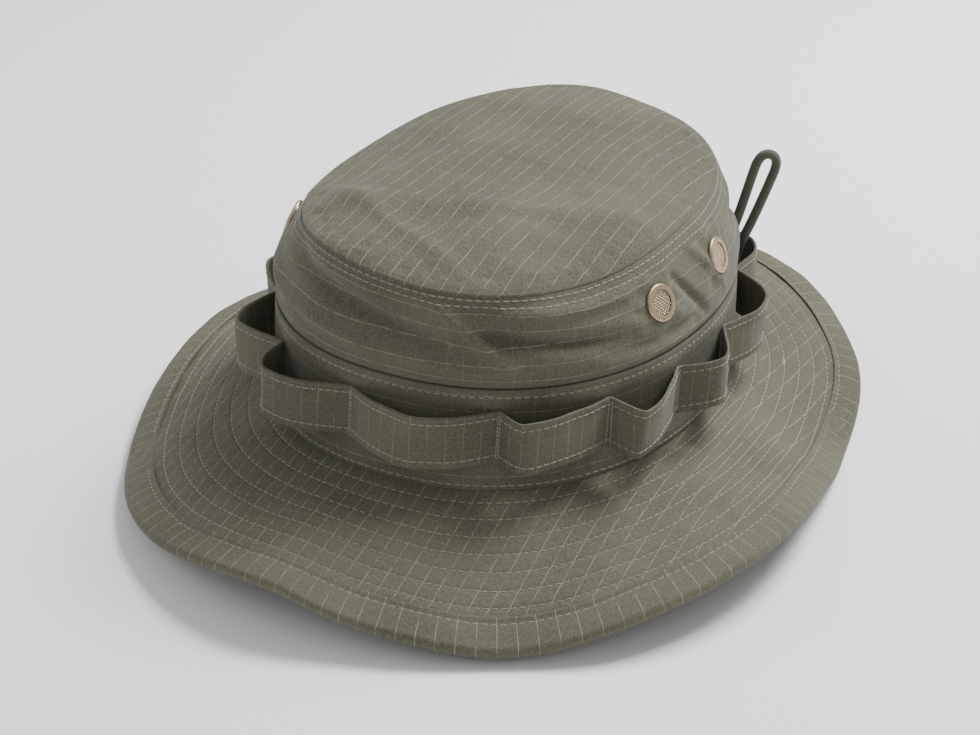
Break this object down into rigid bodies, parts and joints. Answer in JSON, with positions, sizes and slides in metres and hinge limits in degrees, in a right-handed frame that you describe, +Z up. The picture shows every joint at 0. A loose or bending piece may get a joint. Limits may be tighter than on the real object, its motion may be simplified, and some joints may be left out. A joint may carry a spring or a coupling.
{
  "type": "boonie hat",
  "caption": "Soft field hat with an oval crown, screened side vents, a tape sewn on in loops, a wide wavy stitched brim and a chin cord with a sliding lock.",
  "frame": {"origin": "on the floor under the middle of the brim's outline", "axes": "+Z up, -Y the front of the hat, +X the wearer's left"},
  "size_m": [0.2904, 0.336, 0.1212],
  "materials": {
    "cloth": "olive ripstop cotton blend, matt, light lines of thicker yarn",
    "tape": "olive cloth tape",
    "lining": "olive plain-weave tape",
    "label": "white woven label, blank",
    "interlining": "stiff natural canvas",
    "cord": "round braided olive cord",
    "lock_plastic": "matt dark olive nylon",
    "spring_steel": "spring wire",
    "vent_brass": "antique brass",
    "vent_mesh": "woven brass wire screen"
  },
  "bodies": {
    "hat": {"crown_top": "cloth", "crown_side": "cloth", "crown_band": "cloth", "foliage_ring": "tape", "sweatband": "lining", "top_seam_tape": "lining", "size_label": "label", "brim_top": "cloth", "brim_interlining": "interlining", "brim_underside": "cloth", "brim_binding": "cloth", "chin_cord": "cord", "cord_tab_left": "tape", "cord_tab_right": "tape", "vent_ring_left_front": "vent_brass", "vent_screen_left_front": "vent_mesh", "vent_washer_left_front": "vent_brass", "vent_ring_left_back": "vent_brass", "vent_screen_left_back": "vent_mesh", "vent_washer_left_back": "vent_brass", "vent_ring_right_front": "vent_brass", "vent_screen_right_front": "vent_mesh", "vent_washer_right_front": "vent_brass", "vent_ring_right_back": "vent_brass", "vent_screen_right_back": "vent_mesh", "vent_washer_right_back": "vent_brass"},
    "cord_lock": {"cord_lock_body": "lock_plastic", "cord_lock_spring": "spring_steel"},
    "lock_plunger": {"cord_lock_plunger": "lock_plastic"}
  },
  "joints": [
    {"name": "cord_lock_slide", "type": "slide", "parent": "hat", "child": "cord_lock", "axis": [0.9973, 0.01, 0.0723], "range_m": [-0.005, 0.005]},
    {"name": "lock_plunger_press", "type": "slide", "parent": "cord_lock", "child": "lock_plunger", "axis": [-0.0043, -0.9806, 0.1959], "range_m": [0, 0.0025], "stiffness_N_per_m": 400, "springref_m": -0.002, "deforming": ["cord_lock_spring"]}
  ]
}
